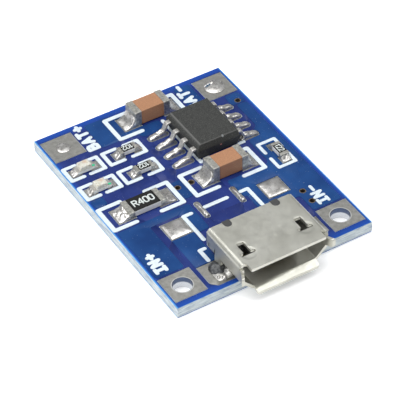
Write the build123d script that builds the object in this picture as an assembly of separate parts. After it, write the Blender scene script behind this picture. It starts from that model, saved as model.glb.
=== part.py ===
"""Lithium battery charger module: a small printed board that charges one cell from a micro-USB socket.

The board lies flat with its underside on Z = 0 and its middle at X = 0, Y = 0. The socket's mouth
and the two input holes are at the -Y end, and the two battery pads are at the +Y end.
"""

import os

from build123d import *

# Board
board_width = 17.0
board_length = 22.0
core_thickness = 0.92
mask_thickness = 0.04
mask_clearance = 0.05
score_depth = 0.28
score_width = 0.08

# Corner terminals
terminal_size = 2.65
terminal_plate = 0.04
barrel_wall = 0.18
terminal_edge_x = 0.24
terminal_edge_y = 0.65
input_hole = 1.55
battery_hole = 1.1
fill_clearance = 0.01
plus_dome_width = 1.3
plus_dome_height = 0.16
minus_dome_width = 1.85
minus_dome_height = 0.34

# Vias
via_hole = 0.4
via_wall = 0.09
rear_via_from_side = 0.9
rear_via_from_rear = 4.45
front_via_from_side = 2.46
front_via_from_front = 4.45
front_via_pitch = 1.3
middle_via_pitch = 1.2
middle_via_offset = 0.26

# Solder
solder_film = 0.03
solder_inset = 0.04
solder_edge = 0.03
solder_lip = 0.05
solder_shoulder = 0.12
hollow_bow = 0.13
full_bow = -0.15

# Large chip parts, 3.2 by 1.6
large_length = 3.2
large_width = 1.6
large_cap = 0.58
large_resistor_cap = 0.45
capacitor_height = 1.4
large_resistor_height = 0.55
large_pad_in = 1.05
large_pad_out = 2.55
large_pad_width = 1.68
capacitor_solder_height = 0.95
large_resistor_solder_height = 0.42

# Small chip parts, 1.6 by 0.8
small_length = 1.6
small_width = 0.8
small_cap = 0.3
small_resistor_height = 0.45
small_pad_in = 0.45
small_pad_out = 1.25
small_pad_width = 0.9
small_solder_height = 0.32

# What all chip parts share
cap_wall = 0.04
cap_chamfer = 0.05
coating_thickness = 0.06
coating_gap = 0.02
coating_side_gap = 0.06
coating_round = 0.03

# Indicator lights
led_base_height = 0.28
led_terminal_wall = 0.03
led_lens_length = 1.0
led_lens_height = 0.4
led_lens_draft = 5
led_lens_round = 0.12
led_die_size = 0.28
led_die_height = 0.12
led_solder_height = 0.26

# Charger chip
chip_width = 3.9
chip_length = 4.9
chip_standoff = 0.1
chip_height = 1.46
chip_mould_line = 0.9
chip_upper_draft = 20
chip_lower_draft = 12
chip_bevel = 0.2
lead_count = 4
lead_pitch = 1.27
lead_width = 0.46
lead_thickness = 0.2
lead_tip = 3.15
lead_knee = 2.2
lead_heel = 2.6
lead_root = 0.35
lead_bend = 0.16
chip_pad_in = 2.1
chip_pad_out = 3.88
chip_pad_width = 0.62
lead_solder_height = 0.36
heat_pad_width = 2.3
heat_pad_length = 3.2

# Socket shell, folded from one sheet
usb_x = -0.03
usb_setback = 3.7
usb_depth = 4.8
usb_width = 7.5
usb_height = 2.55
usb_sheet = 0.25
usb_top_bend = 0.42
usb_lower_cut = 0.95
usb_lower_bend = 0.35
flap_length = 0.55
flap_flare = 0.3
side_flap_low = 1.15
side_flap_height = 0.75
side_flap_round = 0.15
lip_corner_gap = 0.12
lip_round = 0.2
corner_notch_width = 0.55
corner_notch_depth = 0.25
corner_notch_height = 0.4
corner_notch_round = 0.2
leg_length = 0.8
leg_from_rear = 1.5
latch_spacing = 4.96
latch_width = 0.6
latch_length = 1.05
latch_front = 0.93
latch_foot_width = 1.22
latch_foot_length = 0.3
latch_round = 0.1
rear_notch_spacing = 4.2
rear_notch_width = 0.66
rear_notch_length = 0.62
side_tab_length = 0.92
side_tab_height = 0.5
side_tab_rear = 0.25
side_tab_slit = 0.12
tail_window_width = 3.5
tail_window_length = 0.75

# Socket insulator and contacts
insulator_fit = 0.02
insulator_overhang = 0.1
insulator_depth = 1.55
tongue_width = 3.7
tongue_thickness = 0.6
tongue_headroom = 0.42
tongue_reach = 3.9
tongue_round = 0.15
contact_count = 5
contact_pitch = 0.65
contact_width = 0.3
contact_thickness = 0.15
contact_reach = 3.75
contact_exit = 0.5
contact_slope = 0.3
contact_tail = 0.77
contact_solder_height = 0.16
contact_solder_start = 0.18

# Pads under the socket
contact_pad_width = 0.42
contact_pad_in = 0.3
contact_pad_out = 1.07
shield_pad_length = 2.35
shield_pad_under = 0.87
shield_pad_behind = 2.0
shield_pad_gap = 0.43
shield_pad_cut = 0.45
shield_solder_height = 0.45
shield_solder_length = 1.6

# Unused pads of a larger socket
spare_x = 0.07
spare_row_height = 2.7
spare_pad_middle = 4.31
spare_pad_width = 1.9
spare_pad_length = 1.85
spare_pin_middle = 1.6
spare_pin_width = 0.42
spare_pin_length = 1.95
spare_solder_height = 0.17
spare_solder_slope = 0.13

# Output capacitor
output_capacitor_x = 0.66
output_capacitor_from_rear = 2.15

# Gaps across the board between the lights, their resistors and the chip
light_margin = 0.47
light_resistor_gap = 1.33
resistor_chip_gap = 0.82
chip_margin = 1.62

# Gaps across the board in the middle row
input_resistor_margin = 0.89
resistor_via_gap = 0.42
via_capacitor_gap = 0.14
capacitor_resistor_gap = 1.6
current_resistor_margin = 1.07
input_resistor_offset = -0.1
current_resistor_offset = -0.5

# Gaps along the board from the battery terminals, past the chip, to the socket
terminal_chip_gap = 0.95
chip_row_gap = 1.07
row_spare_gap = 1.025
spare_socket_gap = 1.605

# Gaps along the board from the battery terminals, past the lights, to the middle row
terminal_light_gap = 1.35
light_row_gap = 1.63
light_middle_gap = 2.14

board_top = core_thickness + 2 * mask_thickness
core_top = core_thickness + mask_thickness
rear_edge = board_length / 2
side_edge = board_width / 2
usb_rear = usb_setback - rear_edge
parts = {}


def spread(start, end, sizes, gaps):
    """Middles of things laid in a row. The gaps share what is free in their own ratio."""
    unit = (end - start - sum(sizes)) / sum(gaps)
    middles = []
    for size, gap in zip(sizes, gaps):
        start += gap * unit
        middles.append(start + size / 2)
        start += size
    return middles


large_pads_length = 2 * large_pad_out
small_pads_length = 2 * small_pad_out
via_width = via_hole + 2 * via_wall

light_x, resistor_x, chip_x = spread(
    -side_edge,
    side_edge,
    [small_pads_length, small_pads_length, 2 * chip_pad_out],
    [light_margin, light_resistor_gap, resistor_chip_gap, chip_margin],
)
input_resistor_x, middle_via_x, input_capacitor_x, current_resistor_x = spread(
    -side_edge,
    side_edge,
    [large_pads_length, middle_via_pitch + via_width, large_pads_length, small_pad_width],
    [input_resistor_margin, resistor_via_gap, via_capacitor_gap, capacitor_resistor_gap,
     current_resistor_margin],
)
terminal_front = rear_edge - terminal_edge_y - terminal_size
chip_y, middle_row_y, spare_row_y = spread(
    terminal_front,
    usb_rear + contact_pad_out,
    [-chip_length, -large_pad_width, -spare_row_height],
    [terminal_chip_gap, chip_row_gap, row_spare_gap, spare_socket_gap],
)
standby_row_y, charge_row_y = spread(
    terminal_front,
    middle_row_y + large_pad_width / 2,
    [-small_pad_width, -small_pad_width],
    [terminal_light_gap, light_row_gap, light_middle_gap],
)
spare_pin_y = spare_row_y + (spare_row_height - spare_pin_length) / 2
spare_pad_y = spare_row_y - (spare_row_height - spare_pad_length) / 2

chip_place = (chip_x, chip_y)
output_capacitor_place = (output_capacitor_x, rear_edge - output_capacitor_from_rear)
input_capacitor_place = (input_capacitor_x, middle_row_y)
input_resistor_place = (input_resistor_x, middle_row_y + input_resistor_offset)
current_resistor_place = (current_resistor_x, middle_row_y + current_resistor_offset)
standby_led_place = (light_x, standby_row_y)
charge_led_place = (light_x, charge_row_y)
standby_resistor_place = (resistor_x, standby_row_y)
charge_resistor_place = (resistor_x, charge_row_y)


def block(x_size, y_size, z_size, x=0, y=0, z=0):
    """Box standing on height z, centred on x and y."""
    return Pos(x, y, z) * Box(x_size, y_size, z_size, align=(Align.CENTER, Align.CENTER, Align.MIN))


def rod(diameter, height, x=0, y=0, z=0):
    """Upright cylinder standing on height z."""
    return Pos(x, y, z) * Cylinder(diameter / 2, height, align=(Align.CENTER, Align.CENTER, Align.MIN))


def place(spot, angle=0):
    """Location of a part on top of the board."""
    return Pos(spot[0], spot[1], board_top) * Rot(0, 0, angle)


def flank(foot, top, height, bow):
    """One side of a solder mound, from its foot to its top: straight, or bowed in (above 0) or out."""
    if foot == top or bow == 0:
        return Line((foot, solder_edge), (top, height))
    middle_x = foot + (0.5 + bow) * (top - foot)
    middle_y = solder_edge + (0.5 - bow) * (height - solder_edge)
    return ThreePointArc((foot, solder_edge), (middle_x, middle_y), (top, height))


def mound_profile(foot, top, height, bow):
    """Side view of a solder mound. Its foot and its top each run from one place to another."""
    return make_face([
        Line((foot[0], 0), (foot[1], 0)),
        Line((foot[1], 0), (foot[1], solder_edge)),
        flank(foot[1], top[1], height, bow),
        Line((top[1], height), (top[0], height)),
        flank(foot[0], top[0], height, bow),
        Line((foot[0], solder_edge), (foot[0], 0)),
    ])


def solder_mound(foot, top, foot_width, top_width, height, bow=hollow_bow):
    """Solder drawn up from a pad: where its side view and its end view both let it be."""
    side_view = Plane.XZ * mound_profile(foot, top, height, bow)
    half_foot, half_top = foot_width / 2, top_width / 2
    end_view = Plane.YZ * mound_profile((-half_foot, half_foot), (-half_top, half_top), height, bow)
    reach = 2 * max(abs(foot[0]), abs(foot[1]))
    return extrude(side_view, foot_width, both=True) & extrude(end_view, reach, both=True)


# Pads. Each one is (location of its middle, size along X, size along Y).


def end_pads(spot, angle, pad_in, pad_out, width):
    """The two pads of a chip part that lies along X."""
    middle = (pad_in + pad_out) / 2
    length = pad_out - pad_in
    return [(Pos(spot[0], spot[1], 0) * Rot(0, 0, angle) * Pos(side * middle, 0, 0), length, width)
            for side in (-1, 1)]


def chip_lead_spots():
    """Sides and Y places of the charger chip's leads, from its middle."""
    first = -(lead_count - 1) / 2 * lead_pitch
    return [(side, first + index * lead_pitch) for side in (-1, 1) for index in range(lead_count)]


def chip_pads():
    """Eight slim pads, and the plate under the chip."""
    middle = (chip_pad_in + chip_pad_out) / 2
    length = chip_pad_out - chip_pad_in
    found = [(Pos(chip_place[0] + side * middle, chip_place[1] + y, 0), length, chip_pad_width)
             for side, y in chip_lead_spots()]
    found.append((Pos(chip_place[0], chip_place[1], 0), heat_pad_width, heat_pad_length))
    return found


def contact_spots():
    """X places of the socket's contacts."""
    first = usb_x - (contact_count - 1) / 2 * contact_pitch
    return [first + index * contact_pitch for index in range(contact_count)]


def contact_pads():
    """Five pads at the socket's rear."""
    middle = usb_rear + (contact_pad_out - contact_pad_in) / 2
    length = contact_pad_in + contact_pad_out
    return [(Pos(x, middle, 0), contact_pad_width, length) for x in contact_spots()]


def spare_pads():
    """Two broad pads and two slim ones that nothing stands on."""
    broad = [(Pos(spare_x + side * spare_pad_middle, spare_pad_y, 0), spare_pad_width, spare_pad_length)
             for side in (-1, 1)]
    slim = [(Pos(spare_x + side * spare_pin_middle, spare_pin_y, 0), spare_pin_width, spare_pin_length)
            for side in (-1, 1)]
    return broad + slim


def all_pads():
    """Every plain pad on the upper face."""
    large = (large_pad_in, large_pad_out, large_pad_width)
    small = (small_pad_in, small_pad_out, small_pad_width)
    found = []
    for spot in (output_capacitor_place, input_capacitor_place, input_resistor_place):
        found += end_pads(spot, 0, *large)
    for spot in (standby_resistor_place, charge_resistor_place, standby_led_place, charge_led_place):
        found += end_pads(spot, 0, *small)
    found += end_pads(current_resistor_place, 90, *small)
    return found + chip_pads() + contact_pads() + spare_pads()


def pad_plate(pad, grow, z_low, z_size):
    """Plate on a pad's outline, grown on every side."""
    location, x_size, y_size = pad
    return Pos(0, 0, z_low) * location * block(x_size + 2 * grow, y_size + 2 * grow, z_size)


def shield_pad_out():
    """How far the pads beside the socket reach from its middle, clear of the corner terminals."""
    return side_edge - terminal_edge_x - terminal_size - shield_pad_gap - abs(usb_x)


def shield_pad_y():
    """Middle of the pads beside the socket."""
    return usb_rear - shield_pad_behind


def shield_pad(side, grow, z_low, z_size):
    """Pad beside the socket's mouth, with its outer front corner cut off."""
    near = usb_width / 2 - shield_pad_under - grow
    far = shield_pad_out() + grow
    half = shield_pad_length / 2 + grow
    outline = Polyline(
        (near, half),
        (far, half),
        (far, shield_pad_cut - half),
        (far - shield_pad_cut, -half),
        (near, -half),
        close=True,
    )
    plate = extrude(make_face(outline), z_size)
    if side < 0:
        plate = mirror(plate, Plane.YZ)
    return Pos(usb_x, shield_pad_y(), z_low) * plate


# Board, mask, terminals and vias


def terminal_spots():
    """Names and middles of the four corner terminals."""
    x = side_edge - terminal_edge_x - terminal_size / 2
    y = rear_edge - terminal_edge_y - terminal_size / 2
    return {
        "input_plus": (-x, -y),
        "input_minus": (x, -y),
        "battery_plus": (-x, y),
        "battery_minus": (x, y),
    }


def terminal_hole(name):
    """Finished hole of a terminal."""
    return input_hole if name.startswith("input") else battery_hole


def via_spots():
    """Middles of the small plated vias."""
    rear = (side_edge - rear_via_from_side, rear_edge - rear_via_from_rear)
    middle = [(middle_via_x + side * middle_via_pitch / 2, middle_row_y + middle_via_offset)
              for side in (-1, 1)]
    front = [(side_edge - front_via_from_side, front_via_from_front + step * front_via_pitch - rear_edge)
             for step in range(2)]
    return [rear] + middle + front


def scored_edge(side):
    """Wedges that the score lines take off one short end, above and below."""
    upper = Polyline(
        (rear_edge - score_width, core_top),
        (rear_edge, core_top - score_depth),
        (rear_edge + score_width, core_top - score_depth),
        (rear_edge + score_width, core_top + score_depth),
        (rear_edge - score_width, core_top + score_depth),
        close=True,
    )
    wedge = extrude(Plane.YZ * make_face(upper), board_width, both=True)
    lower = mirror(wedge, Plane.XY.offset(core_thickness / 2 + mask_thickness))
    pair = wedge + lower
    return pair if side > 0 else mirror(pair, Plane.XZ)


def circuit_board():
    """Glass-epoxy core with its drilled holes and scored ends."""
    core = block(board_width, board_length, core_thickness, z=mask_thickness)
    for name, spot in terminal_spots().items():
        core -= rod(terminal_hole(name) + 2 * barrel_wall, board_top, *spot)
    for spot in via_spots():
        core -= rod(via_width, board_top, *spot)
    for side in (-1, 1):
        core -= scored_edge(side)
    return core


def mask_sheet(z_low):
    """Solder mask over one whole face, open at the terminals."""
    sheet = block(board_width, board_length - 2 * score_width, mask_thickness, z=z_low)
    opening = terminal_size + 2 * mask_clearance
    for spot in terminal_spots().values():
        sheet -= block(opening, opening, mask_thickness, *spot, z_low)
    return sheet


def top_mask():
    """Upper mask, open at the vias and at every pad as well. The lower one closes the vias."""
    sheet = mask_sheet(core_top)
    for spot in via_spots():
        sheet -= rod(via_width, mask_thickness, *spot, core_top)
    for pad in all_pads():
        sheet -= pad_plate(pad, mask_clearance, core_top, mask_thickness)
    for side in (-1, 1):
        sheet -= shield_pad(side, mask_clearance, core_top, mask_thickness)
    return sheet


def terminal(name):
    """Square plates on both faces, joined by the plated barrel."""
    x, y = terminal_spots()[name]
    hole = terminal_hole(name)
    piece = rod(hole + 2 * barrel_wall, core_thickness, x, y, mask_thickness)
    for z in (0, core_top):
        piece += block(terminal_size, terminal_size, terminal_plate, x, y, z)
    return piece - rod(hole, board_top, x, y)


def solder_fill(name, dome_width, dome_height):
    """Plug that fills a battery hole and stands proud as a low dome."""
    x, y = terminal_spots()[name]
    plug = rod(battery_hole - 2 * fill_clearance, board_top, x, y)
    radius = (dome_width ** 2 / 4 + dome_height ** 2) / (2 * dome_height)
    ball = Pos(x, y, board_top + dome_height - radius) * Sphere(radius)
    return plug + (ball & block(dome_width, dome_width, dome_height, x, y, board_top))


def via_barrels():
    """Plated tubes, from the lower mask to flush with the upper one."""
    height = board_top - mask_thickness
    tubes = []
    for x, y in via_spots():
        tube = rod(via_width, height, x, y, mask_thickness)
        tubes.append(tube - rod(via_hole, height, x, y, mask_thickness))
    return Compound(tubes)


def tinned_pads():
    """All plain pads on the upper face, flush with the mask."""
    plates = [pad_plate(pad, 0, core_top, mask_thickness) for pad in all_pads()]
    plates += [shield_pad(side, 0, core_top, mask_thickness) for side in (-1, 1)]
    return Compound(plates)


# Chip capacitors and resistors, each made round its own middle and standing on its pads


def chip_core(length, width, height):
    """Ceramic block inside the plated ends."""
    return block(length - 2 * cap_wall, width - 2 * cap_wall, height - 2 * cap_wall,
                 z=solder_film + cap_wall)


def end_caps(length, width, height, cap):
    """The two plated ends, wrapped round the block on five sides."""
    envelope = block(length, width, height, z=solder_film)
    envelope = chamfer(envelope.edges(), cap_chamfer)
    middle = block(length - 2 * cap, 2 * width, 2 * height)
    return envelope - middle - chip_core(length, width, height)


def end_solder(length, width, height, pad_in, pad_out, pad_width, rise, bow):
    """Solder from both pads up the plated ends."""
    start = pad_in + solder_inset
    mound = solder_mound(
        (start, pad_out - solder_inset),
        (start, length / 2 + solder_lip),
        pad_width - 2 * solder_inset,
        width - 2 * solder_shoulder,
        rise,
        bow,
    )
    mound -= block(length, width, height, z=solder_film)
    return Compound([mound, mirror(mound, Plane.YZ)])


def coating(length, width, height, cap):
    """Black overcoat on top of a resistor, between its plated ends."""
    size_x = length - 2 * cap - 2 * coating_gap
    size_y = width - 2 * coating_side_gap
    slab = block(size_x, size_y, coating_thickness, z=solder_film + height - cap_wall)
    return fillet(slab.edges().group_by(Axis.Z)[-1], coating_round)


def add_two_ended(name, spot, angle, size, pad, rise, bow, coated):
    """Files one chip part's pieces under its name."""
    length, width, height, cap = size
    location = place(spot, angle)
    parts[name + "_body"] = location * chip_core(length, width, height)
    parts[name + "_end_caps"] = location * end_caps(length, width, height, cap)
    parts[name + "_solder"] = location * end_solder(length, width, height, *pad, rise, bow)
    if coated:
        parts[name + "_coating"] = location * coating(length, width, height, cap)


# Indicator lights


def led_base():
    """White base of an indicator light."""
    return block(small_length - 2 * led_terminal_wall, small_width,
                 led_base_height - 2 * led_terminal_wall, z=solder_film + led_terminal_wall)


def led_terminals():
    """Plated strips wrapped round both ends of the base."""
    strips = block(small_length, small_width, led_base_height, z=solder_film) - led_base()
    return strips - block(small_length - 2 * small_cap, 2 * small_width, 2 * led_base_height)


def led_die():
    """Light-giving chip in the middle of the base."""
    return block(led_die_size, led_die_size, led_die_height, z=led_top())


def led_top():
    """Height of the base's upper face under the lens."""
    return solder_film + led_base_height - led_terminal_wall


def led_lens():
    """Milky lens moulded over the die, narrower at its top."""
    outline = Rectangle(led_lens_length, small_width)
    lens = extrude(Pos(0, 0, led_top()) * outline, led_lens_height, taper=led_lens_draft)
    lens = fillet(lens.edges().group_by(Axis.Z)[-1], led_lens_round)
    return lens - led_die() - led_terminals()


def add_led(name, spot):
    """Files one indicator light's pieces under its name."""
    location = place(spot)
    parts[name + "_base"] = location * led_base()
    parts[name + "_terminals"] = location * led_terminals()
    parts[name + "_die"] = location * led_die()
    parts[name + "_lens"] = location * led_lens()
    parts[name + "_solder"] = location * end_solder(
        small_length, small_width, led_base_height, small_pad_in, small_pad_out, small_pad_width,
        led_solder_height, 0)


# Charger chip


def lead_height():
    """Height of the mould line, where the leads come out."""
    return chip_standoff + chip_mould_line


def lead_blank():
    """One gull-wing lead on the +X side, at Y = 0."""
    foot_height = solder_film + lead_thickness / 2
    path = FilletPolyline(
        (chip_width / 2 - lead_root, 0, lead_height()),
        (lead_knee, 0, lead_height()),
        (lead_heel, 0, foot_height),
        (lead_tip, 0, foot_height),
        radius=lead_bend,
    )
    start = Plane(origin=path @ 0, x_dir=(0, 1, 0), z_dir=path % 0)
    return sweep(start * Rectangle(lead_width, lead_thickness), path=path)


def chip_leads():
    """All eight leads."""
    blank = lead_blank()
    turned = Rot(0, 0, 180) * blank
    return Compound([Pos(0, y, 0) * (blank if side > 0 else turned) for side, y in chip_lead_spots()])


def chip_body():
    """Moulded block, drafted both ways from the mould line, with a bevel on its first side."""
    outline = Pos(0, 0, lead_height()) * Rectangle(chip_width, chip_length)
    upper = extrude(outline, chip_height - chip_mould_line, taper=chip_upper_draft)
    lower = extrude(outline, -chip_mould_line, taper=chip_lower_draft)
    body = upper + lower
    ridge = body.edges().filter_by(Axis.Y).group_by(Axis.Z)[-1].sort_by(Axis.X)[0]
    body = chamfer(ridge, chip_bevel)
    return body - chip_leads() - chip_heat_pad()


def chip_heat_pad():
    """Metal slug in the underside, seated on its pad."""
    return block(heat_pad_width, heat_pad_length, chip_standoff)


def chip_solder():
    """Solder round the foot of every lead."""
    mound = solder_mound(
        (chip_pad_in + solder_inset, chip_pad_out - solder_inset),
        (lead_heel - solder_shoulder, lead_tip + solder_lip),
        chip_pad_width - 2 * solder_inset,
        lead_width + 2 * solder_inset,
        lead_solder_height,
        0,
    )
    mound -= lead_blank()
    turned = Rot(0, 0, 180) * mound
    return Compound([Pos(0, y, 0) * (mound if side > 0 else turned) for side, y in chip_lead_spots()])


# Micro-USB socket


def usb_plane(y):
    """Upright plane across the socket, looking in from the mouth, on the board's upper face."""
    return Plane(origin=(usb_x, y, board_top), x_dir=(1, 0, 0), z_dir=(0, -1, 0))


def usb_outline(grow=0, inset=0):
    """Cross-section of the shell: flat top, straight sides and two slanted lower corners."""
    half = usb_width / 2 + grow
    foot = half - usb_lower_cut
    section = make_face(Polyline(
        (-half, usb_height),
        (half, usb_height),
        (half, usb_lower_cut - grow),
        (foot, -grow),
        (-foot, -grow),
        (-half, usb_lower_cut - grow),
        close=True,
    ))
    corners = section.vertices().group_by(Axis.Y)
    section = fillet(corners[-1], usb_top_bend)
    corners = section.vertices().group_by(Axis.Y)
    section = fillet(corners[0] + corners[1], usb_lower_bend)
    return offset(section, -inset) if inset else section


def usb_tube(inset):
    """Straight part of the shell, solid across."""
    return extrude(usb_plane(usb_rear) * usb_outline(inset=inset), usb_depth)


def usb_collar(inset):
    """Flared lead-in of the mouth, solid across: it widens at the sides and below."""
    near = usb_plane(usb_rear - usb_depth) * usb_outline(inset=inset)
    far = usb_plane(usb_rear - usb_depth - flap_length) * usb_outline(grow=flap_flare, inset=inset)
    return loft([near, far], ruled=True)


def mouth_flaps():
    """What stands out round the mouth: a top flap, a bottom lip and a short flap on each side."""
    lead_in = usb_collar(0) - usb_collar(usb_sheet)
    y = usb_rear - usb_depth - flap_length / 2
    top = block(usb_width - 2 * corner_notch_width, flap_length, usb_sheet, usb_x, y,
                board_top + usb_height - usb_sheet)
    sides = block(2 * usb_width, flap_length, side_flap_height, usb_x, y, board_top + side_flap_low)
    sides = fillet(sides.edges().filter_by(Axis.X).group_by(Axis.Y)[0], side_flap_round)
    lip_width = usb_width - 2 * (usb_lower_cut + lip_corner_gap)
    lip = block(lip_width, flap_length, flap_flare + usb_sheet, usb_x, y, board_top - flap_flare)
    lip = fillet(lip.edges().filter_by(Axis.Z).group_by(Axis.Y)[0], lip_round)
    return [lead_in & kept for kept in (top, sides, lip)]


def corner_notch(side):
    """Round notch between the top flap and the side of the shell."""
    notch = block(2 * corner_notch_width, 2 * corner_notch_depth, corner_notch_height,
                  usb_x + side * usb_width / 2, usb_rear - usb_depth,
                  board_top + usb_height - corner_notch_height)
    return fillet(notch.edges().filter_by(Axis.Z).group_by(Axis.Y)[-1], corner_notch_round)


def shell_leg(side):
    """Leg folded down from the shell's side, standing on the pad beside the socket."""
    x = usb_x + side * (usb_width - usb_sheet) / 2
    return block(usb_sheet, leg_length, usb_lower_cut + usb_lower_bend, x, usb_rear - leg_from_rear,
                 board_top)


def latch_window(side):
    """T-shaped window that catches the plug's hook."""
    front = usb_rear - usb_depth + latch_front
    x = usb_x + side * latch_spacing / 2
    z = board_top + usb_height - 2 * usb_sheet
    foot = block(latch_foot_width, latch_foot_length, 3 * usb_sheet, x, front + latch_foot_length / 2, z)
    stem = block(latch_width, latch_length, 3 * usb_sheet, x,
                 front + latch_foot_length + latch_length / 2, z)
    window = foot + stem
    return fillet(window.edges().filter_by(Axis.Z), latch_round)


def rear_notch(side, gap=0):
    """Round-nosed notch in the rear edge of the top, or with a gap the boss that fills it."""
    x = usb_x + side * rear_notch_spacing / 2
    width = rear_notch_width - 2 * gap
    reach = rear_notch_length - gap
    overhang = insulator_overhang if gap else rear_notch_length
    tall = 2 * usb_sheet
    z = board_top + usb_height - usb_sheet - (0 if gap else usb_sheet / 2)
    height = usb_sheet if gap else tall
    nose = width / 2
    bar = block(width, reach - nose + overhang, height, x, usb_rear + (overhang - reach + nose) / 2, z)
    return bar + rod(width, height, x, usb_rear - reach + nose, z)


def side_tab_cut(side):
    """Cut round three sides of the tab that holds the insulator."""
    x = usb_x + side * usb_width / 2
    low = board_top + usb_lower_cut
    rear = usb_rear - side_tab_rear
    outer = block(4 * usb_sheet, side_tab_length, side_tab_height, x, rear - side_tab_length / 2, low)
    tab = block(4 * usb_sheet, side_tab_length - 2 * side_tab_slit, side_tab_height, x,
                rear - side_tab_length / 2, low + side_tab_slit)
    return outer - tab


def tail_window(gap=0):
    """Opening in the shell's floor for the contact tails, or with a gap the plastic that fills it."""
    length = tail_window_length - gap
    return block(tail_window_width - 2 * gap, length, usb_sheet, usb_x, usb_rear - length / 2, board_top)


def usb_shell():
    """Folded steel shell of the socket."""
    shell = usb_tube(0) - usb_tube(usb_sheet)
    for flap in mouth_flaps():
        shell += flap
    for side in (-1, 1):
        shell += shell_leg(side)
        shell -= corner_notch(side)
        shell -= latch_window(side)
        shell -= rear_notch(side)
        shell -= side_tab_cut(side)
    return shell - tail_window()


def tongue_under():
    """Height of the tongue's lower face."""
    return board_top + usb_height - usb_sheet - tongue_headroom - tongue_thickness


def usb_contacts():
    """Five contacts, from under the tongue down to their tails on the board."""
    high = tongue_under() + contact_thickness / 2
    low = board_top + solder_film + contact_thickness / 2
    path = Polyline(
        (usb_x, usb_rear - contact_reach, high),
        (usb_x, usb_rear - contact_exit, high),
        (usb_x, usb_rear - contact_exit + contact_slope, low),
        (usb_x, usb_rear + contact_tail, low),
    )
    start = Plane(origin=path @ 0, x_dir=(1, 0, 0), z_dir=path % 0)
    section = start * Rectangle(contact_width, contact_thickness)
    blank = sweep(section, path=path, transition=Transition.RIGHT)
    return Compound([Pos(x - usb_x, 0, 0) * blank for x in contact_spots()])


def usb_insulator():
    """Plastic block at the rear of the shell, with the tongue that enters the plug."""
    section = usb_outline(inset=usb_sheet + insulator_fit)
    rear = usb_plane(usb_rear + insulator_overhang)
    block_part = extrude(rear * section, insulator_overhang + insulator_depth)
    length = tongue_reach - insulator_depth
    tongue = block(tongue_width, length, tongue_thickness, usb_x,
                   usb_rear - insulator_depth - length / 2, tongue_under())
    tongue = fillet(tongue.edges().filter_by(Axis.Z).group_by(Axis.Y)[0], tongue_round)
    filler = tail_window(insulator_fit) & block(board_width, board_length, usb_sheet,
                                                z=board_top + insulator_fit)
    sill = block(tail_window_width - 2 * insulator_fit, tail_window_length - insulator_fit,
                 2 * insulator_fit, usb_x, usb_rear - (tail_window_length - insulator_fit) / 2,
                 board_top + usb_sheet - insulator_fit / 2)
    whole = block_part + tongue + filler + sill
    for side in (-1, 1):
        whole += rear_notch(side, insulator_fit)
        whole += block(rear_notch_width - 2 * insulator_fit, rear_notch_length / 2, 2 * insulator_fit,
                       usb_x + side * rear_notch_spacing / 2, usb_rear - rear_notch_length / 4,
                       board_top + usb_height - usb_sheet - 1.5 * insulator_fit)
    for x in contact_spots():
        whole -= contact_groove(x)
    return whole


def contact_groove(x):
    """Groove for one contact, under the tongue and open down through the block behind it."""
    length = contact_reach + insulator_overhang
    height = tongue_under() + contact_thickness - board_top
    return block(contact_width, length, height, x, usb_rear + insulator_overhang - length / 2, board_top)


def usb_shell_solder():
    """Solder that climbs from the two shield pads to the shell's lower corners."""
    start = usb_width / 2 - usb_lower_cut
    mound = solder_mound(
        (start, shield_pad_out() - shield_pad_cut),
        (start, usb_width / 2 + solder_lip),
        shield_pad_length - 2 * solder_inset,
        shield_solder_length,
        shield_solder_height,
    )
    right = Pos(usb_x, shield_pad_y(), board_top) * mound - usb_tube(0) - shell_leg(1)
    left = Pos(2 * usb_x, 0, 0) * mirror(right, Plane.YZ)
    return Compound([right, left])


def usb_contact_solder():
    """Solder over each contact's tail."""
    tails = usb_contacts()
    blank = solder_mound(
        (contact_solder_start, contact_pad_out - solder_inset),
        (contact_solder_start + solder_shoulder, contact_tail + solder_lip),
        contact_pad_width - solder_inset,
        contact_width + solder_inset,
        contact_solder_height,
        0,
    )
    spots = [Pos(x, usb_rear, board_top) * Rot(0, 0, 90) for x in contact_spots()]
    return Compound([spot * blank - tails for spot in spots])


def spare_pad_mounds():
    """Pillow of solder on each unused pad."""
    pillows = []
    for location, x_size, y_size in spare_pads():
        half = x_size / 2 - solder_inset
        width = y_size - 2 * solder_inset
        crown = half - spare_solder_slope
        height = min(spare_solder_height, half)
        pillow = solder_mound((-half, half), (-crown, crown), width, width - 2 * spare_solder_slope,
                              height, full_bow)
        pillows.append(Pos(0, 0, board_top) * location * pillow)
    return Compound(pillows)


def build_board():
    """Files the bare board's pieces."""
    parts["circuit_board"] = circuit_board()
    parts["top_solder_mask"] = top_mask()
    parts["bottom_solder_mask"] = mask_sheet(0)
    for name in terminal_spots():
        parts[name + "_terminal"] = terminal(name)
    parts["battery_plus_solder_fill"] = solder_fill("battery_plus", plus_dome_width, plus_dome_height)
    parts["battery_minus_solder_fill"] = solder_fill("battery_minus", minus_dome_width, minus_dome_height)
    parts["via_barrels"] = via_barrels()
    parts["tinned_pads"] = tinned_pads()


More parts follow.
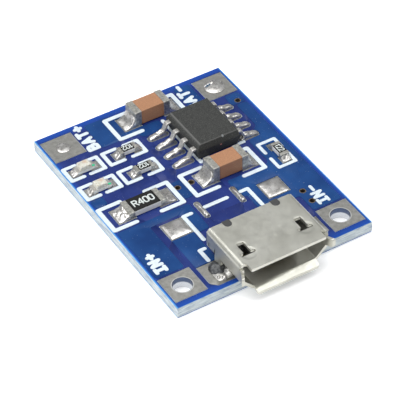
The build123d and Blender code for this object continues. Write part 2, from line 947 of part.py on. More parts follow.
def build_chip_parts():
    """Files the capacitors, resistors and indicator lights."""
    large_pad = (large_pad_in, large_pad_out, large_pad_width)
    small_pad = (small_pad_in, small_pad_out, small_pad_width)
    tall = (large_length, large_width, capacitor_height, large_cap)
    flat = (large_length, large_width, large_resistor_height, large_resistor_cap)
    small = (small_length, small_width, small_resistor_height, small_cap)
    for name, spot in (("output_capacitor", output_capacitor_place),
                       ("input_capacitor", input_capacitor_place)):
        add_two_ended(name, spot, 0, tall, large_pad, capacitor_solder_height, hollow_bow, False)
    add_two_ended("input_resistor", input_resistor_place, 0, flat, large_pad,
                  large_resistor_solder_height, hollow_bow, True)
    for name, spot in (("standby_led_resistor", standby_resistor_place),
                       ("charge_led_resistor", charge_resistor_place)):
        add_two_ended(name, spot, 0, small, small_pad, small_solder_height, 0, True)
    add_two_ended("current_set_resistor", current_resistor_place, 90, small, small_pad,
                  small_solder_height, 0, True)
    add_led("standby_led", standby_led_place)
    add_led("charge_led", charge_led_place)


def build_chip():
    """Files the charger chip's pieces."""
    location = place(chip_place)
    parts["charger_chip_body"] = location * chip_body()
    parts["charger_chip_leads"] = location * chip_leads()
    parts["charger_chip_heat_pad"] = location * chip_heat_pad()
    parts["charger_chip_solder"] = location * chip_solder()


def build_socket():
    """Files the socket's pieces and the solder beside it."""
    parts["usb_shell"] = usb_shell()
    parts["usb_insulator"] = usb_insulator()
    parts["usb_contacts"] = usb_contacts()
    parts["usb_shell_solder"] = usb_shell_solder()
    parts["usb_contact_solder"] = usb_contact_solder()
    parts["spare_pad_solder"] = spare_pad_mounds()


build_board()
build_chip_parts()
build_chip()
build_socket()
os.makedirs("parts", exist_ok=True)
for name, piece in parts.items():
    export_step(piece, f"parts/{name}.step")
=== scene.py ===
"""Looks of the lithium battery charger module, in metres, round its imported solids.

Places and sizes are given in millimetres in the row frame and turned to metres where a mesh is made.
"""

import math

import bmesh
import bpy
from mathutils import Matrix, Vector, geometry, noise


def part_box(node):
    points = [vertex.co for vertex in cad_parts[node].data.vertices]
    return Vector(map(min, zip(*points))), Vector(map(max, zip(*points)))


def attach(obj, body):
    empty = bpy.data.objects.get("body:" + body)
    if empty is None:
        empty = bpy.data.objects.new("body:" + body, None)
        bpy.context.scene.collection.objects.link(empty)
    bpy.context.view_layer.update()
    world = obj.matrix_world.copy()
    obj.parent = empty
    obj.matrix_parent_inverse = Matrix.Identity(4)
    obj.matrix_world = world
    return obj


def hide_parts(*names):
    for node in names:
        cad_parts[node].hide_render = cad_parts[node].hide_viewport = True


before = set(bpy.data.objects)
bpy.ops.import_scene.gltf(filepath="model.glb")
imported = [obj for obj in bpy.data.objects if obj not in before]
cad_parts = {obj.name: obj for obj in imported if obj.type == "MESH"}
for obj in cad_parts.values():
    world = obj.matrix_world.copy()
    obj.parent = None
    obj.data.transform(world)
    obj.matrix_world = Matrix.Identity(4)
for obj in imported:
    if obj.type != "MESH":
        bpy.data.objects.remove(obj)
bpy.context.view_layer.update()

MM = 0.001

# The board's half size and its thickness
half_width = 8.5
half_length = 11.0
board_top = 1.0

# Copper areas and print: how far they rise above the board, and how far their sides slope
copper_relief = 0.022
copper_slope = 0.03
legend_height = 0.042
legend_slope = 0.008

# Slack between the board and the print's underside, which keeps their faces apart
legend_slack = 0.005

# How far a plate on the board reaches down into it
plate_root = 0.01

# Small marks on parts and pads: how far they rise, sink in and slope
mark_height = 0.012
mark_sink = 0.004
mark_slope = 0.002

# Clear strip round each pad, in the relief of the copper areas and in the mask
relief_opening = 0.06
mask_opening = 0.05

# Corners of plain pads. Pads narrower than a width are slim.
pad_radius = 0.08
slim_pad_radius = 0.36
slim_width = 0.7

# Heaps of solder: their rim above the board, their foot below it, their least height, and the
# longest step along their outline
heap_rim = 0.006
heap_foot = 0.02
heap_least = 0.01
heap_step = 0.07

# Crack in the solder of one battery terminal: its line, depth and width, and the spots of painted shade
# along it, each with its radius
crack_line = ((6.3, 9.3), (6.9, 9.36))
crack_drop = 0.14
crack_width = 0.08
crack_shade_spots = ((6.34, 9.3, 0.09), (6.5, 9.33, 0.1), (6.7, 9.36, 0.08))

# Dents round the shell's latch windows: how far they lie from its middle line, their places along
# it with their radii, and the width of their soft rim
dent_side = 2.48
dent_places = ((-11.0, 0.5), (-10.1, 0.25))
dent_rim = 0.22

# Painted glints on the chip's corner: place, radius, width of the soft rim, colour
painted_glints = (
    ((3.16, 1.98, 1.88), 0.08, 0.07, (1, 0.42, 0.38)),
    ((3.4, 2.08, 2.46), 0.07, 0.06, (0.34, 0.36, 0.36)),
)

# Mesh points closer than this are one
weld = 0.0005

# Range that most of a noise texture's values lie in
noise_low = 0.3
noise_high = 0.7

# Heights of solder above the board, from the inner to the outer end of each heap
capacitor_fillet = [(0, 0.95), (0.36, 0.95), (0.42, 0.78), (0.55, 0.46), (0.7, 0.24), (0.85, 0.12), (1, 0.07)]
large_fillet = [(0, 0.42), (0.36, 0.42), (0.5, 0.31), (0.7, 0.17), (0.88, 0.1), (1, 0.06)]
small_fillet = [(0, 0.32), (0.43, 0.32), (0.6, 0.21), (0.8, 0.12), (1, 0.06)]
light_fillet = [(0, 0.27), (0.43, 0.27), (0.6, 0.18), (0.8, 0.11), (1, 0.06)]
lead_fillet = [(0, 0.14), (0.12, 0.26), (0.26, 0.5), (0.38, 0.48), (0.52, 0.36), (0.68, 0.3), (0.88, 0.24),
               (1, 0.18)]
shell_fillet = [(0, 0.42), (0.25, 0.3), (0.45, 0.15), (0.8, 0.11), (1, 0.04)]
tail_fillet = [(0, 0.1), (0.5, 0.2), (0.75, 0.17), (1, 0.08)]
pillow = [(0, 0.2), (1, 0.16)]


# Camera, floor and lights


def add_camera():
    """Camera at the photograph's angle, fitted to the board's corners and terminals."""
    right = Vector((0.85337469, -0.52090736, -0.02017806))
    up = Vector((0.36406095, 0.56782387, 0.73826532))
    back = Vector((-0.37311025, -0.63736298, 0.67420855))
    data = bpy.data.cameras.new("camera")
    data.sensor_width = 36
    data.lens = 196.54
    data.clip_start = 0.01
    camera = bpy.data.objects.new("camera", data)
    place = Matrix((right, up, back)).transposed().to_4x4()
    place.translation = Vector((-62.9553, -107.5934, 112.7996)) * MM
    camera.matrix_world = place
    bpy.context.collection.objects.link(camera)
    bpy.context.scene.camera = camera


def add_floor():
    """Pale plain floor just under the board, with a faint glow of its own."""
    reach = 600 * MM
    gap = 0.01 * MM
    glow = 0.24
    mesh = bpy.data.meshes.new("floor")
    corners = [(-reach, -reach, 0), (reach, -reach, 0), (reach, reach, 0), (-reach, reach, 0)]
    mesh.from_pydata(corners, [], [(0, 1, 2, 3)])
    floor = bpy.data.objects.new("floor", mesh)
    floor.location.z = -gap
    bpy.context.collection.objects.link(floor)
    look = bpy.data.materials.new("floor")
    look.use_nodes = True
    shader = look.node_tree.nodes["Principled BSDF"]
    shader.inputs["Base Color"].default_value = (0.9, 0.9, 0.9, 1)
    shader.inputs["Roughness"].default_value = 0.7
    shader.inputs["Emission Color"].default_value = (1, 1, 1, 1)
    shader.inputs["Emission Strength"].default_value = glow
    mesh.materials.append(look)


def add_light(name, place, target, size, energy):
    """Square soft light that looks at a point. Place and target are in millimetres."""
    data = bpy.data.lights.new(name, "AREA")
    data.size = size * MM
    data.energy = energy
    light = bpy.data.objects.new(name, data)
    light.location = Vector(place) * MM
    aim = Vector(target) * MM - light.location
    light.rotation_euler = aim.to_track_quat("-Z", "Y").to_euler()
    bpy.context.collection.objects.link(light)


def add_world():
    """White surroundings, darker towards the horizon so that metal has something to mirror."""
    world = bpy.data.worlds.new("surroundings")
    world.use_nodes = True
    tree = world.node_tree
    background = tree.nodes["Background"]
    place = tree.nodes.new("ShaderNodeTexCoord")
    axes = tree.nodes.new("ShaderNodeSeparateXYZ")
    shade = tree.nodes.new("ShaderNodeValToRGB")
    horizon = (0.05, (0.46, 0.48, 0.52, 1))
    sky = (0.6, (0.95, 0.97, 1, 1))
    for element, (position, colour) in zip(shade.color_ramp.elements, (horizon, sky)):
        element.position = position
        element.color = colour
    tree.links.new(place.outputs["Generated"], axes.inputs[0])
    tree.links.new(axes.outputs["Z"], shade.inputs["Fac"])
    tree.links.new(shade.outputs["Color"], background.inputs["Color"])
    background.inputs["Strength"].default_value = 0.42
    bpy.context.scene.world = world
    bpy.context.scene.view_settings.view_transform = "Standard"


# Materials


class Look:
    """A material under construction, with its textures in millimetres of the row frame."""

    def __init__(self, name, colour, roughness, metallic=0.0):
        self.material = bpy.data.materials.new(name)
        self.material.use_nodes = True
        self.material.diffuse_color = (*colour, 1)
        self.tree = self.material.node_tree
        self.shader = self.tree.nodes["Principled BSDF"]
        self.set("Base Color", (*colour, 1))
        self.set("Roughness", roughness)
        self.set("Metallic", metallic)
        place = self.node("ShaderNodeTexCoord")
        grow = self.node("ShaderNodeVectorMath", operation="SCALE")
        grow.inputs["Scale"].default_value = 1 / MM
        self.join(place.outputs["Object"], grow.inputs[0])
        self.millimetres = grow.outputs[0]

    def node(self, kind, **settings):
        """New node with its settings."""
        made = self.tree.nodes.new(kind)
        for key, value in settings.items():
            setattr(made, key, value)
        return made

    def join(self, source, target):
        """Link from one socket to another."""
        self.tree.links.new(source, target)

    def set(self, socket, value):
        """Uniform value on the shader's own socket."""
        self.shader.inputs[socket].default_value = value

    def stretched(self, scale):
        """Coordinates stretched by a factor for each axis."""
        stretch = self.node("ShaderNodeVectorMath", operation="MULTIPLY")
        stretch.inputs[1].default_value = scale
        self.join(self.millimetres, stretch.inputs[0])
        return stretch.outputs[0]

    def axis(self, letter):
        """Place along one axis, in millimetres."""
        made = self.node("ShaderNodeSeparateXYZ")
        self.join(self.millimetres, made.inputs[0])
        return made.outputs[letter]

    def maths(self, operation, *sources):
        """Result of an operation on one or two sockets."""
        made = self.node("ShaderNodeMath", operation=operation)
        for source, socket in zip(sources, made.inputs):
            self.join(source, socket)
        return made.outputs[0]

    def noise(self, grain, detail=3, space=None):
        """Noise whose lumps are about that many millimetres across."""
        made = self.node("ShaderNodeTexNoise")
        made.inputs["Scale"].default_value = 1 / grain
        made.inputs["Detail"].default_value = detail
        made.inputs["Roughness"].default_value = 0.55
        self.join(space or self.millimetres, made.inputs["Vector"])
        return made.outputs["Fac"]

    def ramp(self, source, stops):
        """Colours along a value, given as (place, colour) stops."""
        made = self.node("ShaderNodeValToRGB")
        elements = made.color_ramp.elements
        while len(elements) < len(stops):
            elements.new(0.5)
        for element, (place, colour) in zip(elements, stops):
            element.position = place
            element.color = (*colour, 1)
        self.join(source, made.inputs["Fac"])
        return made.outputs["Color"]

    def span(self, source, low, high, to_low=0.0, to_high=1.0):
        """Value carried from one range to another, with its ends held."""
        made = self.node("ShaderNodeMapRange")
        made.inputs["From Min"].default_value = low
        made.inputs["From Max"].default_value = high
        made.inputs["To Min"].default_value = to_low
        made.inputs["To Max"].default_value = to_high
        self.join(source, made.inputs["Value"])
        return made.outputs["Result"]

    def blend(self, factor, first, second):
        """Two colours mixed. Each value may be a socket or plain."""
        made = self.node("ShaderNodeMix", data_type="RGBA")
        factor_socket, first_socket, second_socket = (made.inputs[index] for index in (0, 6, 7))
        for value, socket in ((factor, factor_socket), (first, first_socket), (second, second_socket)):
            if isinstance(value, bpy.types.NodeSocket):
                self.join(value, socket)
            elif isinstance(value, tuple):
                socket.default_value = (*value, 1)
            else:
                socket.default_value = value
        return made.outputs[2]

    def colour(self, socket):
        """Base colour from a socket."""
        self.join(socket, self.shader.inputs["Base Color"])

    def drift(self, grain, dark, light, detail=3):
        """Colour that drifts between two shades."""
        return self.ramp(self.noise(grain, detail), [(noise_low, dark), (noise_high, light)])

    def vary(self, grain, dark, light, detail=3):
        """Base colour that drifts between two shades."""
        self.colour(self.drift(grain, dark, light, detail))

    def wander(self, grain, low, high, detail=3):
        """Value that drifts between two others."""
        return self.span(self.noise(grain, detail), noise_low, noise_high, low, high)

    def rough(self, grain, low, high, detail=2):
        """Roughness that drifts between two values."""
        self.join(self.wander(grain, low, high, detail), self.shader.inputs["Roughness"])

    def near(self, centre, radius, soft, flat=False):
        """One within a distance of a point in millimetres, nought beyond. Flat leaves out the height."""
        made = self.node("ShaderNodeVectorMath", operation="DISTANCE")
        made.inputs[1].default_value = centre
        self.join(self.stretched((1, 1, 0)) if flat else self.millimetres, made.inputs[0])
        return self.span(made.outputs["Value"], radius, radius + soft, 1, 0)

    def bump(self, source, depth, strength):
        """Relief of that many millimetres, laid over any that is already there."""
        made = self.node("ShaderNodeBump")
        made.inputs["Distance"].default_value = depth * MM
        made.inputs["Strength"].default_value = strength
        self.join(source, made.inputs["Height"])
        normal = self.shader.inputs["Normal"]
        if normal.is_linked:
            self.join(normal.links[0].from_socket, made.inputs["Normal"])
        self.join(made.outputs["Normal"], normal)


def mask_look(name, dark, light, glow):
    """Glossy blue lacquer with specks of dust. A glow brightens it where the laminate's rim lets light in."""
    painted_rim_light_colour = (0.07, 0.3, 0.66)
    dust_colour = (0.45, 0.55, 0.62)
    look = Look(name, light, 0.32)
    tone = look.drift(2.2, dark, light, 2)
    if glow:
        along = look.maths("ABSOLUTE", look.axis("Y"))
        across = look.maths("ABSOLUTE", look.axis("X"))
        for end_reach, side_reach, clear, colour in ((1.1, 0.5, 0, glow), (0.12, 0.12, 0.03, painted_rim_light_colour)):
            ends = look.span(along, half_length - end_reach, half_length - clear)
            sides = look.span(across, half_width - side_reach, half_width - clear)
            tone = look.blend(look.maths("MAXIMUM", ends, sides), tone, colour)
    dust = look.span(look.noise(0.1, 1), 0.74, 0.79, 0, 0.45)
    look.colour(look.blend(dust, tone, dust_colour))
    look.set("IOR", 1.5)
    look.set("Specular IOR Level", 0.24)
    look.bump(look.noise(0.5, 2), depth=0.012, strength=0.5)
    look.bump(look.noise(0.08, 2), depth=0.002, strength=0.5)
    return look.material


def laminate_look():
    """Pale glass cloth and resin, with the cloth's layers on its cut edges, and painted shade that darkens it
    towards its foot.
    """
    worn_colour = (0.22, 0.28, 0.38)
    foot_shade_colour = (0.26, 0.32, 0.4)
    foot_height = 0.4
    look = Look("laminate", (0.66, 0.69, 0.7), 0.6)
    layers = look.noise(0.12, 3, look.stretched((0.1, 0.1, 1.2)))
    streaks = look.noise(0.16, 4, look.stretched((0.16, 0.16, 1)))
    tone = look.ramp(layers, [(0.3, (0.36, 0.42, 0.47)), (0.5, (0.5, 0.56, 0.58)), (0.7, (0.64, 0.69, 0.7))])
    worn = look.span(streaks, 0.5, 0.66, 0, 0.85)
    tone = look.blend(worn, tone, worn_colour)
    # Painted shade along the foot of the board's edge
    foot = look.span(look.axis("Z"), 0, foot_height, 0.5, 0)
    look.colour(look.blend(foot, tone, foot_shade_colour))
    look.bump(layers, depth=0.03, strength=0.6)
    look.bump(look.noise(0.05), depth=0.015, strength=0.6)
    return look.material


def tin_look():
    """Dull grey tinned copper with a fine grain, a painted highlight round the rims of the wire holes,
    painted light on the lower part of their walls and painted shade, bluish, on the upper part.
    """
    rim_radius = 0.84
    painted_rim_light_colour = (0.58, 0.58, 0.56)
    wall_radius = 0.78
    wall_roughness = (0.25, 0.25, 0.25)
    look = Look("tin", (0.38, 0.375, 0.35), 0.5, 0.75)
    tone = look.drift(0.35, (0.26, 0.257, 0.24), (0.37, 0.365, 0.34))
    # Painted light on the lower part of the hole walls, and painted shade, bluish, on their upper part
    wall = look.blend(look.span(look.axis("Z"), 0.5, 0.6), (0.66, 0.68, 0.71), (0.08, 0.11, 0.19))
    smooth = look.wander(0.2, 0.42, 0.6)
    for side in ("plus", "minus"):
        hole = (*middle_of("input_" + side + "_terminal").to_2d(), 0)
        # Painted highlight round the rim of each wire hole
        tone = look.blend(look.near(hole, rim_radius, 0.02, flat=True), tone, painted_rim_light_colour)
        inside = look.near(hole, wall_radius, 0.012, flat=True)
        tone = look.blend(inside, tone, wall)
        smooth = look.blend(inside, smooth, wall_roughness)
    look.colour(tone)
    look.join(smooth, look.shader.inputs["Roughness"])
    look.bump(look.noise(0.06), depth=0.004, strength=0.6)
    return look.material


def solder_look(name, grain, relief):
    """Solder with a soft shine, patchy where flux has dulled it, and painted shade along the crack."""
    crack_shade_colour = (0.05, 0.09, 0.14)
    look = Look(name, (0.68, 0.66, 0.63), 0.3, 0.9)
    tone = look.drift(grain, (0.42, 0.405, 0.38), (0.8, 0.78, 0.75))
    # Painted shade: dark spots along the crack in the solder
    for x, y, reach in crack_shade_spots:
        tone = look.blend(look.near((x, y, 0), reach, 0.04, flat=True), tone, crack_shade_colour)
    look.colour(tone)
    look.rough(0.7 * grain, 0.22, 0.42)
    look.bump(look.noise(0.8 * grain, 2), relief, strength=0.5)
    return look.material


def plated_look(name, dark, light, roughness):
    """Matte metal of leads, end caps, vias, contacts and dulled solder."""
    look = Look(name, light, roughness, 0.85)
    look.vary(0.2, dark, light)
    look.rough(0.12, roughness - 0.08, roughness + 0.08)
    look.bump(look.noise(0.07), depth=0.006, strength=0.5)
    return look.material


def steel_look():
    """Satin nickel plate, uneven and dented round the latch windows."""
    look = Look("nickel_plate", (0.64, 0.63, 0.575), 0.36, 0.8)
    look.vary(2.6, (0.5, 0.495, 0.435), (0.66, 0.655, 0.59))
    look.rough(0.5, 0.3, 0.44, detail=3)
    look.bump(look.noise(1.1, 2), depth=0.012, strength=0.3)
    middle = middle_of("usb_shell").x
    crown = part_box("usb_shell")[1][2] / MM
    for side in (-1, 1):
        for y, reach in dent_places:
            dent = look.near((middle + side * dent_side, y, crown), reach, dent_rim)
            look.bump(look.span(dent, 0, 1, 1, 0), depth=0.05, strength=0.6)
    look.bump(look.noise(0.05), depth=0.0025, strength=0.5)
    return look.material


def ceramic_look(name, dark, light):
    """Fired ceramic with fine specks."""
    look = Look(name, light, 0.45)
    look.vary(0.09, dark, light, 4)
    look.bump(look.noise(0.05), depth=0.006, strength=0.5)
    return look.material


def moulded_look():
    """Dark epoxy moulding with its sparkle of filler, a painted highlight along its upper edge and two
    painted glints on a corner.
    """
    edge_highlight_colour = (0.12, 0.12, 0.115)
    look = Look("moulding", (0.05, 0.05, 0.048), 0.6)
    look.set("Specular IOR Level", 0.28)
    grain = look.noise(0.06)
    tone = look.ramp(grain, [(0.35, (0.022, 0.023, 0.022)), (0.58, (0.05, 0.051, 0.048)),
                             (0.75, (0.11, 0.112, 0.105))])
    height = look.axis("Z")
    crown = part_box("charger_chip_body")[1][2] / MM
    # Painted highlight along the upper edge of the moulding
    rise = look.span(height, crown - 0.12, crown - 0.05)
    fall = look.span(height, crown - 0.03, crown - 0.004, 1, 0)
    tone = look.blend(look.maths("MULTIPLY", rise, fall), tone, edge_highlight_colour)
    # Painted glints, one reddish and one grey, on a corner
    for place, reach, rim, colour in painted_glints:
        tone = look.blend(look.near(place, reach, rim), tone, colour)
    look.colour(tone)
    look.rough(0.3, 0.5, 0.66)
    look.bump(grain, depth=0.014, strength=0.9)
    return look.material


def plain_look(name, colour, roughness, grain=0.1, depth=0.004, shine=0.5):
    """Plastic or ink of one colour with a fine uneven skin."""
    look = Look(name, colour, roughness)
    look.set("Specular IOR Level", shine)
    darker = tuple(part * 0.88 for part in colour)
    look.vary(grain * 4, darker, colour)
    look.bump(look.noise(grain), depth, strength=0.6)
    return look.material


def lens_look():
    """Milky resin that lets some light through, tinted over each die."""
    above_die = Vector((0.1, 0.1, 0.3))
    tint = (0.6, 0.47, 0.36)
    look = Look("milky_resin", (0.68, 0.68, 0.6), 0.28)
    tone = look.ramp(look.noise(0.16), [(0.32, (0.42, 0.37, 0.27)), (0.45, (0.6, 0.59, 0.52)),
                                        (0.7, (0.7, 0.69, 0.62))])
    for name in ("charge_led", "standby_led"):
        die = middle_of(name + "_die")
        tone = look.blend(look.near(die + above_die, 0.05, 0.22), tone, tint)
    look.colour(tone)
    look.set("Subsurface Weight", 0.8)
    look.set("Subsurface Radius", (0.0007, 0.0007, 0.0006))
    look.set("Coat Weight", 0.3)
    return look.material


def make_looks():
    """Every material, under the name that the pieces ask for."""
    return {
        "mask_laminate": mask_look("mask_over_laminate", (0.011, 0.023, 0.13), (0.019, 0.038, 0.185),
                                   glow=(0.008, 0.065, 0.36)),
        "mask_copper": mask_look("mask_over_copper", (0.004, 0.034, 0.142), (0.011, 0.062, 0.215),
                                 glow=None),
        "laminate": laminate_look(),
        "tin": tin_look(),
        "solder": solder_look("solder", grain=0.3, relief=0.014),
        "smooth_solder": solder_look("smooth_solder", grain=0.8, relief=0.03),
        "via": plated_look("via_plate", (0.14, 0.11, 0.085), (0.32, 0.26, 0.2), 0.45),
        "lead": plated_look("lead_tin", (0.52, 0.5, 0.47), (0.72, 0.7, 0.66), 0.34),
        "end_cap": plated_look("end_tin", (0.3, 0.295, 0.268), (0.64, 0.63, 0.575), 0.42),
        "steel": steel_look(),
        "brown_ceramic": ceramic_look("brown_ceramic", (0.32, 0.152, 0.078), (0.43, 0.218, 0.115)),
        "alumina": ceramic_look("alumina", (0.6, 0.61, 0.6), (0.76, 0.76, 0.74)),
        "moulding": moulded_look(),
        "overcoat": plain_look("overcoat", (0.012, 0.012, 0.011), 0.5, shine=0.25),
        "ink": plain_look("legend_ink", (0.68, 0.76, 0.81), 0.6, grain=0.08, depth=0.008),
        "code": plain_look("code_ink", (0.64, 0.69, 0.67), 0.6),
        "led_base": plain_look("led_laminate", (0.78, 0.8, 0.76), 0.5),
        "lens": lens_look(),
        "die": plain_look("die", (0.5, 0.1, 0.08), 0.3),
        "green": plain_look("green_mark", (0.03, 0.55, 0.27), 0.5),
        "flux": plated_look("flux_over_solder", (0.045, 0.048, 0.05), (0.2, 0.205, 0.21), 0.6),
        "dull_solder": plated_look("dull_solder", (0.3, 0.295, 0.28), (0.62, 0.61, 0.58), 0.4),
        "insulator": plain_look("insulator", (0.05, 0.05, 0.05), 0.5),
        "gold": plated_look("contact_gold", (0.5, 0.36, 0.14), (0.75, 0.58, 0.28), 0.3),
    }


# Outlines seen from above, in millimetres


def middle_of(node):
    """Middle of a CAD node's box, in millimetres."""
    low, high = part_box(node)
    return (Vector(low) + Vector(high)) / 2 / MM


def footprints(node):
    """Outlines of a node's separate solids seen from above, in millimetres, in a fixed order."""
    made = bmesh.new()
    made.from_mesh(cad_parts[node].data)
    bmesh.ops.remove_doubles(made, verts=made.verts, dist=weld * MM)
    seen = set()
    found = []
    for start in made.verts:
        if start in seen:
            continue
        seen.add(start)
        island = [start]
        for vert in island:
            for edge in vert.link_edges:
                other = edge.other_vert(vert)
                if other not in seen:
                    seen.add(other)
                    island.append(other)
        points = [vert.co.to_2d() / MM for vert in island]
        hull = [points[index] for index in geometry.convex_hull_2d(points)]
        found.append(clean_outline(hull))
    made.free()
    return sorted(found, key=lambda outline: (round(centre_of(outline).y, 2), round(centre_of(outline).x, 2)))


def clean_outline(outline):
    """Outline, anticlockwise, without doubled points and those that lie along a straight side."""
    outline = [point for point, after in zip(outline, outline[1:] + outline[:1])
               if (after - point).length > 1e-3]
    area = sum(first.cross(last) for first, last in zip(outline, outline[1:] + outline[:1]))
    if area < 0:
        outline = outline[::-1]
    kept = []
    for before, point, after in zip(outline[-1:] + outline[:-1], outline, outline[1:] + outline[:1]):
        if abs((point - before).cross(after - point)) > 1e-5:
            kept.append(point)
    return kept


def centre_of(outline):
    """Middle of an outline's box."""
    xs = [point.x for point in outline]
    ys = [point.y for point in outline]
    return Vector(((min(xs) + max(xs)) / 2, (min(ys) + max(ys)) / 2))


def size_of(outline):
    """Size of an outline's box."""
    xs = [point.x for point in outline]
    ys = [point.y for point in outline]
    return Vector((max(xs) - min(xs), max(ys) - min(ys)))


def grown(outline, reach):
    """Convex outline moved outwards on every side."""
    points = []
    for before, point, after in zip(outline[-1:] + outline[:-1], outline, outline[1:] + outline[:1]):
        first, last = (point - before).normalized(), (after - point).normalized()
        first, last = Vector((first.y, -first.x)), Vector((last.y, -last.x))
        points.append(point + (first + last) * reach / (1 + first.dot(last)))
    return points


def resampled(outline, step):
    """Outline with points no further apart than a step."""
    points = []
    for first, last in zip(outline, outline[1:] + outline[:1]):
        count = max(1, math.ceil((last - first).length / step))
        points += [first.lerp(last, index / count) for index in range(count)]
    return points


def rounded(outline, radius, steps=4):
    """Outline with its corners rounded."""
    points = []
    count = len(outline)
    for index in range(count):
        before, corner, after = (Vector(outline[(index + step) % count]) for step in (-1, 0, 1))
        reach = min(radius, (before - corner).length / 2, (after - corner).length / 2)
        first = corner + (before - corner).normalized() * reach
        last = corner + (after - corner).normalized() * reach
        for step in range(steps + 1):
            share = step / steps
            inner = first.lerp(corner, share).lerp(corner.lerp(last, share), share)
            points.append(inner)
    return points


def capsule(start, end, width):
    """Outline of one pen stroke with round ends."""
    start, end = Vector(start), Vector(end)
    along = (end - start).normalized()
    turn = math.atan2(along.y, along.x)
    steps = 7
    points = []
    for middle, base in ((end, turn - math.pi / 2), (start, turn + math.pi / 2)):
        for index in range(steps + 1):
            angle = base + math.pi * index / steps
            points.append(middle + Vector((math.cos(angle), math.sin(angle))) * width / 2)
    return points


def strokes(line, width):
    """Pen strokes along a line of points."""
    return [capsule(first, second, width) for first, second in zip(line, line[1:])]


# Mesh helpers. Meshes are shaped in millimetres and scaled when they are done.


def add_piece(name, mesh, look, nodes=()):
    """Puts a finished mesh, in millimetres, into the scene as a piece of the object."""
    mesh.transform(Matrix.Scale(MM, 4))
    mesh.materials.clear()
    mesh.materials.append(looks[look])
    piece = bpy.data.objects.new(name, mesh)
    bpy.context.collection.objects.link(piece)
    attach(piece, "root")
    if nodes:
        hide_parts(*nodes)


def node_mesh(node):
    """Copy of a CAD node's mesh in millimetres, welded and with its flat faces whole."""
    made = bmesh.new()
    made.from_mesh(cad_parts[node].data)
    bmesh.ops.scale(made, vec=(1 / MM, 1 / MM, 1 / MM), verts=made.verts)
    bmesh.ops.remove_doubles(made, verts=made.verts, dist=weld)
    bmesh.ops.dissolve_limit(made, angle_limit=math.radians(1), verts=made.verts, edges=made.edges)
    return made


def finish_mesh(made, name, angle=35):
    """Mesh from a bmesh, smooth except across its sharp edges."""
    for face in made.faces:
        face.smooth = True
    limit = math.radians(angle)
    for edge in made.edges:
        edge.smooth = len(edge.link_faces) == 2 and edge.calc_face_angle(0) < limit
    mesh = bpy.data.meshes.new(name)
    made.to_mesh(mesh)
    made.free()
    return mesh


def modified(mesh, add_modifiers):
    """Mesh after the modifiers that the function adds to a passing object."""
    holder = bpy.data.objects.new("holder", mesh)
    bpy.context.collection.objects.link(holder)
    add_modifiers(holder)
    view = bpy.context.evaluated_depsgraph_get()
    result = bpy.data.meshes.new_from_object(holder.evaluated_get(view))
    bpy.data.objects.remove(holder)
    return result


def edged(node, name, look, radius, segments=2, angle=30):
    """Stands for a CAD node with its sharp edges rounded off."""
    def add_bevel(holder):
        bevel = holder.modifiers.new("bevel", "BEVEL")
        bevel.width = radius
        bevel.segments = segments
        bevel.limit_method = "ANGLE"
        bevel.angle_limit = math.radians(angle)
        bevel.harden_normals = True
        holder.modifiers.new("even", "WEIGHTED_NORMAL").keep_sharp = True

    mesh = finish_mesh(node_mesh(node), name, angle=180)
    add_piece(name, modified(mesh, add_bevel), look, (node,))


def flowed(node, name, seed, crack):
    """Stands for a node's solder as a melted, lumpy skin. A crack is a line along which its crown dips."""
    voxel = 0.045
    lump = 0.014
    lump_size = 0.5
    flatness = 0.6
    least = 0.01

    def add_remesh(holder):
        remesh = holder.modifiers.new("remesh", "REMESH")
        remesh.mode = "VOXEL"
        remesh.voxel_size = voxel
        soften = holder.modifiers.new("soften", "SMOOTH")
        soften.factor = 0.5
        soften.iterations = 8

    mesh = modified(finish_mesh(node_mesh(node), name), add_remesh)

    # The shift gives each piece its own stretch of the noise
    shift = Vector((seed * 7.3, seed * 3.1, seed * 5.7))
    normals = [vertex.normal.copy() for vertex in mesh.vertices]
    for vertex, normal in zip(mesh.vertices, normals):
        sample = vertex.co / lump_size
        wave = noise.noise(sample + shift) + 0.5 * noise.noise(sample * 2.3 + shift)
        vertex.co += normal * lump * (wave + 1)
        if vertex.co.z > board_top:
            dent = crack_depth(vertex.co, crack) if crack else 0
            vertex.co.z = board_top + (vertex.co.z - board_top) * flatness - dent
        vertex.co.z = max(vertex.co.z, least)
    mesh.shade_smooth()
    add_piece(name, mesh, "solder", (node,))


def crack_depth(place, crack):
    """Depth of the dent that a crack makes at a place."""
    start, end = (Vector((*point, 0)) for point in crack)
    flat = Vector((place.x, place.y, 0))
    share = min(1, max(0, geometry.intersect_point_line(flat, start, end)[1]))
    return crack_drop * math.exp(-((flat - start.lerp(end, share)).length / crack_width) ** 2)


def curve(knots, place):
    """Height at a place along a line of (place, height) knots."""
    for (start, first), (end, last) in zip(knots, knots[1:]):
        if place <= end:
            return first + (last - first) * max(0, place - start) / (end - start)
    return knots[-1][1]


def heap(made, outline, height_at, squareness, rings):
    """Adds one heap to a mesh, as rings that shrink from its rim to its crown."""
    centre = sum(outline, Vector((0, 0))) / len(outline)
    rows = [[made.verts.new((point.x, point.y, board_top - heap_foot)) for point in outline]]
    for ring in range(rings + 1):
        share = math.cos(math.pi / 2 * ring / (rings + 1))
        lift = (1 - share ** squareness) ** (1 / squareness)
        spots = [centre + (point - centre) * share for point in outline]
        rows.append([made.verts.new((spot.x, spot.y, board_top + heap_rim + lift * height_at(spot)))
                     for spot in spots])
    crown = made.verts.new((centre.x, centre.y, board_top + heap_rim + height_at(centre)))
    for low, high in zip(rows, rows[1:]):
        for index in range(len(outline)):
            after = (index + 1) % len(outline)
            made.faces.new([low[index], low[after], high[after], high[index]])
    for index in range(len(outline)):
        made.faces.new([rows[-1][index], rows[-1][(index + 1) % len(outline)], crown])
    made.faces.new(list(reversed(rows[0])))


